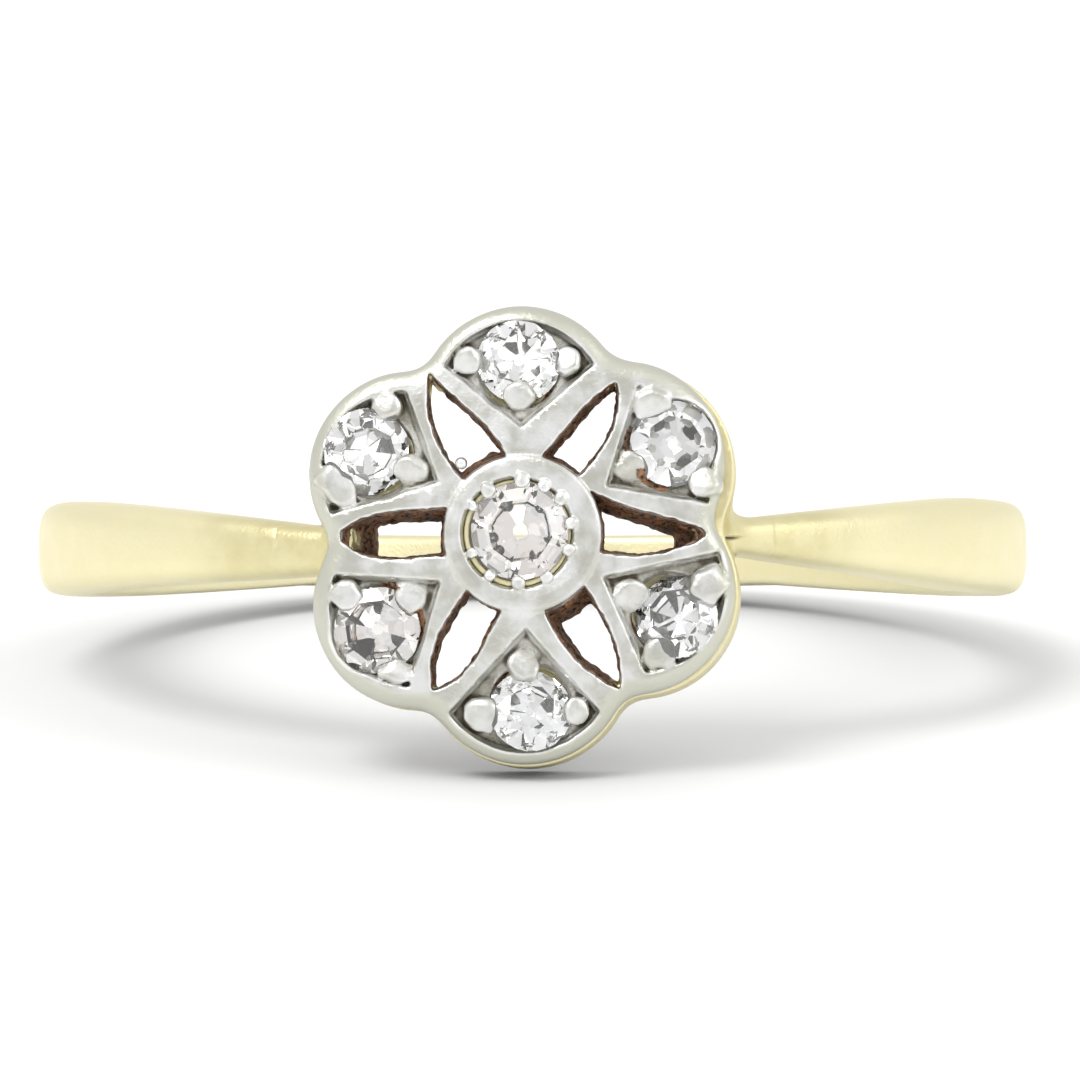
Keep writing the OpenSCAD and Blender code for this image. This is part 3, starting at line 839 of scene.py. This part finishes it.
class Shader:
    """A material's nodes, added and linked in short calls."""

    def __init__(self, name):
        self.material = bpy.data.materials.new(name)
        self.material.use_nodes = True
        self.nodes = self.material.node_tree.nodes
        self.links = self.material.node_tree.links
        self.inputs = self.nodes["Principled BSDF"].inputs

    def node(self, kind, **settings):
        """Adds a node with its settings."""
        node = self.nodes.new(kind)
        for key, value in settings.items():
            setattr(node, key, value)
        return node

    def feed(self, socket, value):
        """Gives an input its value, or links it to an output."""
        if isinstance(value, bpy.types.NodeSocket):
            self.links.new(value, socket)
        else:
            socket.default_value = value

    def attribute(self, name):
        """A value that the mesh carries at its points."""
        return self.node("ShaderNodeAttribute", attribute_name=name).outputs["Fac"]

    def noise(self, size, detail, roughness=0.55):
        """Procedural noise, about size millimetres to a feature."""
        node = self.node("ShaderNodeTexNoise")
        self.feed(node.inputs["Vector"], self.node("ShaderNodeTexCoord").outputs["Object"])
        node.inputs["Scale"].default_value = 1 / (size * MM)
        node.inputs["Detail"].default_value = detail
        node.inputs["Roughness"].default_value = roughness
        return node.outputs["Fac"]

    def ramp(self, value, low, high, low_to=0.0, high_to=1.0):
        """A value carried smoothly from one range to another."""
        node = self.node("ShaderNodeMapRange", interpolation_type="SMOOTHSTEP")
        self.feed(node.inputs["Value"], value)
        for key, number in (("From Min", low), ("From Max", high), ("To Min", low_to), ("To Max", high_to)):
            node.inputs[key].default_value = number
        return node.outputs["Result"]

    def math(self, operation, a, b):
        """One sum on two values."""
        node = self.node("ShaderNodeMath", operation=operation)
        self.feed(node.inputs[0], a)
        self.feed(node.inputs[1], b)
        return node.outputs[0]

    def mix(self, share, a, b):
        """A colour between two."""
        node = self.node("ShaderNodeMix", data_type="RGBA")
        self.feed(node.inputs["Factor"], share)
        self.feed(node.inputs[6], a)
        self.feed(node.inputs[7], b)
        return node.outputs[2]

    def bump(self, height, distance):
        """Relief from a height, this many millimetres deep."""
        node = self.node("ShaderNodeBump")
        node.inputs["Distance"].default_value = distance * MM
        self.feed(node.inputs["Height"], height)
        return node.outputs["Normal"]


def colour(r, g, b):
    """A display colour from 0 to 255, as the renderer's own linear values."""
    def linear(c):
        c = c / 255
        return c / 12.92 if c <= 0.04045 else ((c + 0.055) / 1.055) ** 2.4
    return (linear(r), linear(g), linear(b), 1)


GRIME = colour(140, 134, 120)
PALE_GRIME = colour(214, 212, 203)
TARNISH_AND_SHADE = colour(84, 76, 62)
SEAT_SHINE = colour(222, 220, 214)
SOOT = colour(60, 46, 38)


def metal(name, bright, dull, edge, worn_edge, roughness, soil_and_shade, gold_reflection):
    """Worn metal: bright on its worn edges, darker with tarnish and painted shade in its hollows, with
    painted shade on the plate's rim, and brown in its piercings from soil, painted shade and painted
    reflection of the gold.
    """
    s = Shader(name)
    cavity = s.attribute("cavity")
    pierced = s.attribute("pierced")
    floor = s.attribute("floor")
    seat = s.attribute("seat")
    mottle = s.noise(0.6, 3)
    grain = s.noise(0.05, 3, 0.7)
    specks = s.noise(0.09, 2, 0.6)

    tone = s.mix(s.ramp(mottle, 0.35, 0.65), dull, bright)
    # The sloping rim round the plate takes a darker colour: painted shade on the bevel.
    tone = s.mix(s.attribute("rim"), tone, edge)
    grime = s.mix(s.ramp(mottle, 0.35, 0.6), GRIME, PALE_GRIME)
    tone = s.mix(s.math("MULTIPLY", floor, 0.7), tone, grime)
    # Hollows, found by the blurred fill of the metal, are darkened with tarnish and with painted shade
    # where the metal closes round them; seats are darkened less.
    hollow = s.math("MULTIPLY", s.ramp(cavity, 0.55, 0.7), s.ramp(seat, 0, 1, 0.9, 0.3))
    tone = s.mix(hollow, tone, TARNISH_AND_SHADE)
    tone = s.mix(s.ramp(cavity, 0.44, 0.3), tone, worn_edge)
    tone = s.mix(seat, tone, SEAT_SHINE)
    # The piercings' walls turn brown: painted shade deep in them and painted reflection of the gold,
    # blotched with soil and with specks of soot.
    wall_brown = s.mix(s.ramp(s.noise(0.22, 3), 0.42, 0.6), soil_and_shade, gold_reflection)
    wall_brown = s.mix(s.ramp(specks, 0.5, 0.62), wall_brown, SOOT)
    dirt_and_shade = s.ramp(s.math("ADD", pierced, s.math("MULTIPLY", specks, 0.5)), 0.45, 0.85)
    s.feed(s.inputs["Base Color"], s.mix(dirt_and_shade, tone, wall_brown))
    s.feed(s.inputs["Metallic"], s.ramp(dirt_and_shade, 0, 1, 1.0, 0.35))

    matt = s.math("MAXIMUM", dirt_and_shade, floor)
    sheen = s.ramp(mottle, 0.3, 0.7, roughness - 0.05, roughness + 0.07)
    s.feed(s.inputs["Roughness"], s.math("ADD", sheen, s.math("MULTIPLY", matt, 0.3)))
    relief = s.math("ADD", s.math("MULTIPLY", grain, 0.3), s.math("MULTIPLY", specks, 0.7))
    deep = s.math("ADD", 0.2, s.math("MULTIPLY", matt, 0.88))
    s.feed(s.inputs["Normal"], s.bump(s.math("MULTIPLY", relief, deep), 0.065))
    return s.material


def diamond(name, tint):
    """A colourless stone with a faint tint that drifts inside it."""
    s = Shader(name)
    drift = s.noise(0.6, 2)
    s.feed(s.inputs["Base Color"], s.mix(s.ramp(drift, 0.35, 0.65), (1, 1, 1, 1), tint))
    s.feed(s.inputs["Roughness"], s.ramp(s.noise(0.12, 2), 0.4, 0.7, 0.0, 0.03))
    s.inputs["Transmission Weight"].default_value = 1.0
    s.inputs["IOR"].default_value = 2.35
    return s.material


def paper(name, tone):
    """The plain matt material of the floor."""
    s = Shader(name)
    s.inputs["Base Color"].default_value = tone
    s.inputs["Roughness"].default_value = 0.9
    return s.material


def add_floor():
    """A plain white floor that runs far past the view."""
    corners = [(FLOOR_HALF * x, FLOOR_HALF * y, 0) for x, y in ((-1, -1), (1, -1), (1, 1), (-1, 1))]
    mesh = bpy.data.meshes.new("floor")
    mesh.from_pydata(corners, [], [range(4)])
    floor = add_object("floor", mesh)
    mesh.materials.append(paper("paper", (0.95, 0.95, 0.94, 1)))


def add_camera():
    """A long lens that looks almost straight at the head."""
    camera = bpy.data.cameras.new("camera")
    camera.sensor_width = SENSOR_MM
    camera.lens = SENSOR_MM * CAMERA_DISTANCE / IMAGE_MM
    camera.clip_start = 0.01
    camera.clip_end = 10
    eye = add_object("camera", camera)
    spot = HEAD @ (Vector((CAMERA_DISTANCE * math.tan(math.radians(CAMERA_RIGHT)),
                           -CAMERA_DISTANCE * math.tan(math.radians(CAMERA_DOWN)),
                           plate_top + CAMERA_DISTANCE)) * MM)
    target = HEAD @ (Vector((*AIM, plate_top)) * MM)
    back = (spot - target).normalized()
    across = up.cross(back).normalized()
    eye.matrix_world = Matrix((across, back.cross(across), back)).transposed().to_4x4()
    eye.matrix_world.translation = spot
    bpy.context.scene.camera = eye


def add_light(name, spot, size, power):
    """A soft panel that faces the ring: its place and size in metres, and its power in watts."""
    lamp = bpy.data.lights.new(name, "AREA")
    lamp.shape = "DISK"
    lamp.size = size
    lamp.energy = power
    panel = add_object(name, lamp)
    spot = Vector(spot)
    panel.matrix_world = Matrix.LocRotScale(spot, (LAMP_TARGET - spot).to_track_quat("-Z", "Y"), None)


def add_studio():
    """Bright, even light from all round, with a little more from above."""
    scene = bpy.context.scene
    world = bpy.data.worlds.new("studio")
    world.use_nodes = True
    nodes, links = world.node_tree.nodes, world.node_tree.links
    way = nodes.new("ShaderNodeVectorMath")
    way.operation = "DOT_PRODUCT"
    links.new(nodes.new("ShaderNodeTexCoord").outputs["Generated"], way.inputs[0])
    to_camera = scene.camera.matrix_world.translation - HEAD.translation
    way.inputs[1].default_value = to_camera.normalized()
    ramp = nodes.new("ShaderNodeMapRange")
    ramp.interpolation_type = "SMOOTHSTEP"
    links.new(way.outputs["Value"], ramp.inputs["Value"])
    for key, number in (("From Min", math.cos(math.radians(SPOT_EDGE))), ("To Min", 1.0),
                        ("From Max", math.cos(math.radians(SPOT_CORE))), ("To Max", SPOT_SHADE)):
        ramp.inputs[key].default_value = number
    links.new(ramp.outputs["Result"], nodes["Background"].inputs["Color"])
    nodes["Background"].inputs["Strength"].default_value = SURROUND
    scene.world = world
    add_light("key", (-0.25, -0.35, 0.6), 0.35, 1.8)
    add_light("fill", (0.5, -0.3, 0.35), 0.4, 0.6)
    scene.view_settings.view_transform = "Standard"
    scene.cycles.max_bounces = 10
    scene.cycles.transmission_bounces = 9
    scene.cycles.glossy_bounces = 6
    scene.cycles.caustics_reflective = False


white_metal = metal("white_metal", bright=colour(227, 227, 226), dull=colour(202, 202, 193),
                    edge=colour(205, 205, 192), worn_edge=colour(242, 242, 240), roughness=0.36,
                    soil_and_shade=colour(128, 104, 84), gold_reflection=colour(180, 130, 94))
gold = metal("gold", bright=colour(228, 220, 177), dull=colour(220, 210, 163),
             edge=colour(224, 214, 168), worn_edge=colour(240, 232, 192), roughness=0.42,
             soil_and_shade=colour(130, 102, 76), gold_reflection=colour(184, 132, 90))
stone_materials = {
    "white_stone": diamond("white_stone", (0.96, 0.97, 0.98, 1)),
    "champagne_stone": diamond("champagne_stone", (1.0, 0.92, 0.86, 1)),
}

# Each grid leaves a little room round its metal
face_grid = Grid((-4.6, -4.6, plate_low - 0.1), (4.6, 4.6, plate_top + 0.42))
face_mesh = mesh_of_field("face", face_grid, *face_fields(face_grid))
add_piece("flower_plate", face_mesh, white_metal, "white_metal", "face")

gallery_grid = Grid((-5.05, -4.7, 6.9), (5.05, 4.6, plate_top + 0.2))
gallery_mesh = mesh_of_field("gallery", gallery_grid, *gallery_fields(gallery_grid))
band_mesh = join("gold_band", [gallery_mesh, hoop_mesh()])
add_piece("gold_band", band_mesh, gold, "gold", "band")

for seed, cut in enumerate(CUTS):
    seat = centre_seat if cut.name == "centre" else seats[cut.name]
    add_piece(cut.name + "_stone_cut", stone_mesh(seat, cut, seed), stone_materials[cut.tint], "diamond",
              seat.name)

add_floor()
add_camera()
add_studio()
